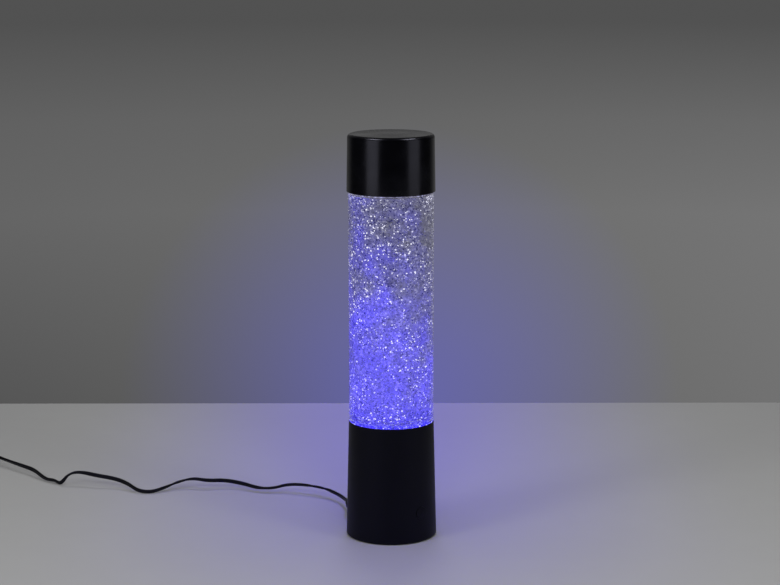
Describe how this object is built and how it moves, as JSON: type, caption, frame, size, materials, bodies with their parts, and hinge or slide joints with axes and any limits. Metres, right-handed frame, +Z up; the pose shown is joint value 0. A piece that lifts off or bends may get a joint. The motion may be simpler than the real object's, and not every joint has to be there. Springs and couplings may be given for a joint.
{
  "type": "glitter lamp",
  "caption": "Column glitter lamp: black tapered base with a push button, clear tube of liquid and glitter, black cap, motor stirrer, light ring and a thin flat lead with a plug.",
  "frame": {"origin": "on the surface the lamp stands on, on the tube's axis", "axes": "+Z up along the tube, the push button faces -Y, the lead leaves the base at +Y"},
  "size_m": [0.264, 0.5089, 0.35],
  "materials": {
    "black_plastic": "satin",
    "cap_plastic": "satin",
    "clear_plastic": "gloss",
    "liquid": "clear liquid, blue in the light",
    "black_rubber": "matte",
    "lead_jacket": "satin",
    "white_plastic": "satin",
    "steel": "satin",
    "magnet": "nickel plated",
    "circuit_board": "satin",
    "light_board": "white lacquer",
    "light": "gloss",
    "wire": "satin",
    "grey_plastic": "matte",
    "gold": "gold plated"
  },
  "bodies": {
    "body": {"base_shell": "black_plastic", "bottom_cover": "black_plastic", "rubber_feet": "black_rubber", "cover_screws": "steel", "switch_body": "grey_plastic", "control_board": "circuit_board", "board_parts": "grey_plastic", "board_screws": "steel", "motor_mount": "grey_plastic", "clamp_screws": "steel", "motor_can": "steel", "motor_end_cap": "grey_plastic", "motor_magnets": "magnet", "motor_screws": "steel", "stirrer_pin": "steel", "stirrer_guard": "clear_plastic", "led_board": "light_board", "leds": "light", "led_screws": "steel", "tube_floor": "clear_plastic", "clear_tube": "clear_plastic", "glitter_fluid": "liquid", "top_closure": "clear_plastic", "filler_stopper": "black_rubber", "top_cap": "cap_plastic", "strain_relief": "black_rubber", "power_wires": "wire", "motor_wires": "wire", "led_wires": "wire", "cord_run": "lead_jacket", "cord_coil": "lead_jacket", "cord_tail": "lead_jacket", "plug_body": "black_rubber", "plug_shell": "steel", "plug_tongue": "white_plastic", "plug_contacts": "gold"},
    "button": {"power_button": "black_plastic", "switch_plunger": "grey_plastic"},
    "drive": {"drive_shaft": "steel", "motor_rotor": "steel", "magnet_carrier": "white_plastic", "drive_magnets": "magnet"},
    "stirring": {"stirrer": "white_plastic", "stirrer_magnets": "magnet"}
  },
  "joints": [
    {"name": "button_press", "type": "slide", "parent": "body", "child": "button", "axis": [0, 1, 0], "range_m": [0, 0.0006], "stiffness_N_per_m": 800, "springref_m": -0.0003},
    {"name": "drive_spin", "type": "hinge", "parent": "body", "child": "drive", "pos_m": [0, 0, 0.07], "axis": [0, 0, 1], "continuous": true},
    {"name": "stirrer_spin", "type": "hinge", "parent": "body", "child": "stirring", "pos_m": [0, 0, 0.0916], "axis": [0, 0, 1], "continuous": true}
  ],
  "couplings": [
    {"joint": "stirrer_spin", "follows": "drive_spin", "ratio": 1}
  ]
}
